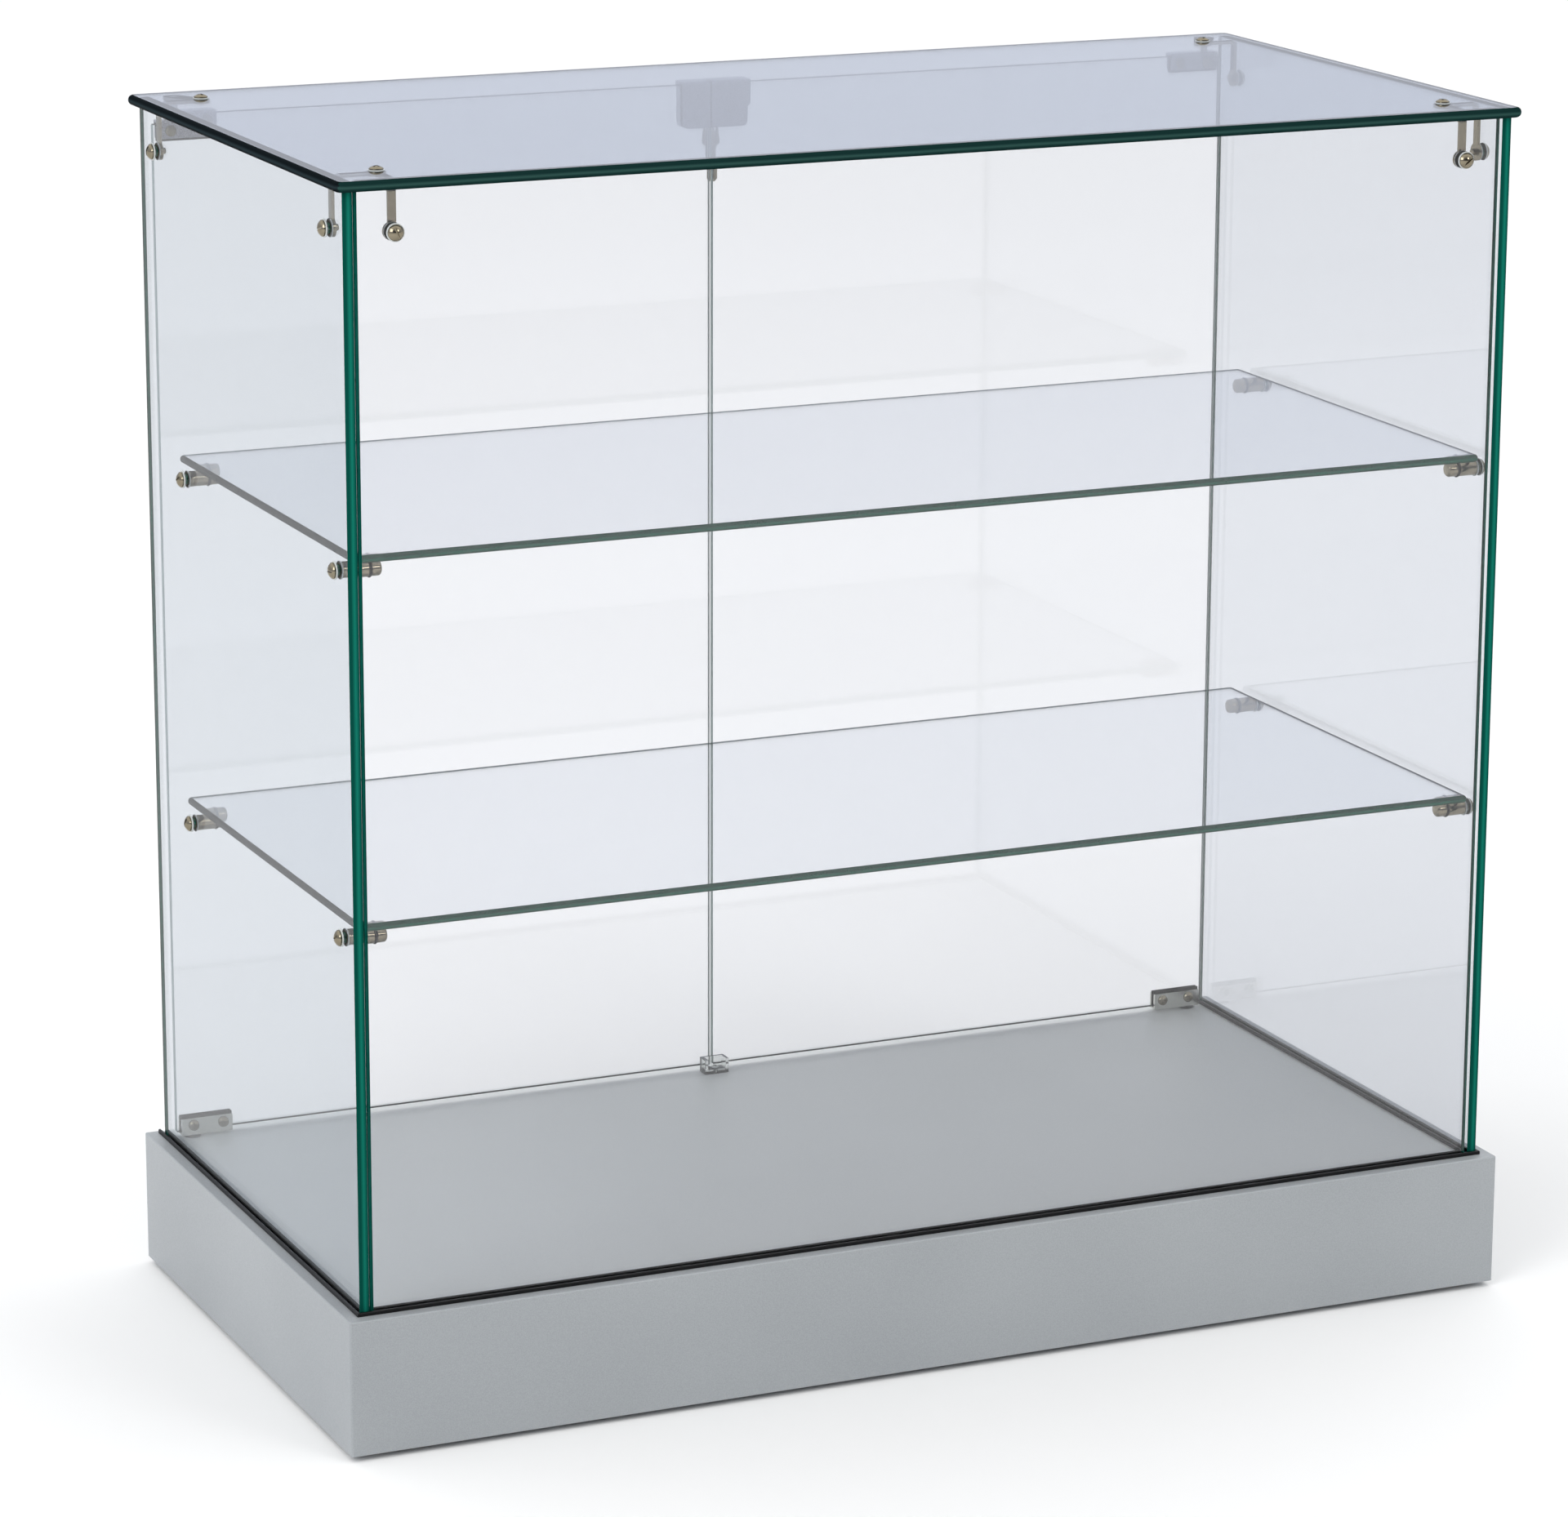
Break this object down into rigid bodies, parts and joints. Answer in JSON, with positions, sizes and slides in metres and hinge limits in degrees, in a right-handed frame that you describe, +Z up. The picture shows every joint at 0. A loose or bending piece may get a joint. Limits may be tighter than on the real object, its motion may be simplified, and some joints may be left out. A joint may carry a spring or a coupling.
{
  "type": "display counter",
  "caption": "Free-standing frameless glass display counter on a low board plinth, with lift-out glass shelves, hinged rear glass doors and a key lock.",
  "frame": {"origin": "middle of the plinth's rectangle on the floor", "axes": "+X to the right seen from the customer's side, +Y from the customer's side to the doors at the back, +Z up"},
  "size_m": [1, 0.5, 0.9824],
  "materials": {
    "silver_board": "silver-grey satin laminate on board",
    "plain_wood": "planed, unfinished",
    "black_channel": "black anodised, satin",
    "clear_glass": "clear float glass, green edges",
    "bright_nickel": "polished nickel plate",
    "plain_steel": "zinc plated",
    "black_rubber": "matte",
    "black_nylon": "moulded, satin",
    "clear_plastic": "clear moulded"
  },
  "bodies": {
    "counter": {"base_front_board": "silver_board", "base_rear_board": "silver_board", "base_left_board": "silver_board", "base_right_board": "silver_board", "deck_panel": "silver_board", "corner_blocks": "plain_wood", "deck_cleats": "plain_wood", "glides": "black_nylon", "glide_screws": "plain_steel", "channel_front": "black_channel", "channel_left": "black_channel", "channel_right": "black_channel", "front_glass": "clear_glass", "left_glass": "clear_glass", "right_glass": "clear_glass", "top_glass": "clear_glass", "front_left_bracket": "bright_nickel", "front_right_bracket": "bright_nickel", "rear_left_bracket": "bright_nickel", "rear_right_bracket": "bright_nickel", "top_screws": "bright_nickel", "top_screw_sleeves": "clear_plastic", "leg_screws": "bright_nickel", "leg_washers": "clear_plastic", "upper_shelf_pins": "bright_nickel", "lower_shelf_pins": "bright_nickel", "upper_pin_rings": "black_rubber", "lower_pin_rings": "black_rubber", "pin_screws": "bright_nickel", "pin_washers": "clear_plastic", "pivot_bushes": "black_nylon", "door_stop": "clear_plastic", "door_stop_screw": "plain_steel"},
    "shelf_upper": {"upper_shelf": "clear_glass"},
    "shelf_lower": {"lower_shelf": "clear_glass"},
    "door_left": {"left_door_glass": "clear_glass", "left_bottom_clamp": "bright_nickel", "left_top_clamp": "bright_nickel", "left_clamp_gaskets": "black_rubber", "left_clamp_screws": "bright_nickel", "left_pivot_pins": "plain_steel", "lock_strike": "bright_nickel", "strike_gasket": "black_rubber", "strike_set_screws": "plain_steel"},
    "door_right": {"right_door_glass": "clear_glass", "right_bottom_clamp": "bright_nickel", "right_top_clamp": "bright_nickel", "right_clamp_gaskets": "black_rubber", "right_clamp_screws": "bright_nickel", "right_pivot_pins": "plain_steel", "lock_case": "bright_nickel", "lock_gasket": "black_rubber", "lock_set_screws": "plain_steel"},
    "lock_barrel": {"lock_plug": "bright_nickel", "lock_cam": "plain_steel", "cam_screw": "plain_steel"},
    "keys": {"key_ring": "plain_steel", "door_keys": "plain_steel"}
  },
  "joints": [
    {"name": "left_door_hinge", "type": "hinge", "parent": "counter", "child": "door_left", "pos_m": [-0.4615, 0.2285, 0.11], "axis": [0, 0, 1], "range_deg": [0, 105]},
    {"name": "right_door_hinge", "type": "hinge", "parent": "counter", "child": "door_right", "pos_m": [0.4615, 0.2285, 0.11], "axis": [0, 0, -1], "range_deg": [0, 105]},
    {"name": "upper_shelf_lift", "type": "slide", "parent": "counter", "child": "shelf_upper", "axis": [0, 0, 1], "range_m": [0, 0.04]},
    {"name": "lower_shelf_lift", "type": "slide", "parent": "counter", "child": "shelf_lower", "axis": [0, 0, 1], "range_m": [0, 0.04]},
    {"name": "lock_turn", "type": "hinge", "parent": "door_right", "child": "lock_barrel", "pos_m": [0.0084, 0.24, 0.9338], "axis": [0, -1, 0], "range_deg": [0, 90]},
    {"name": "key_swing", "type": "hinge", "parent": "door_right", "child": "keys", "pos_m": [0.0084, 0.2453, 0.9338], "axis": [0, 1, 0], "range_deg": [-15, 15]}
  ]
}
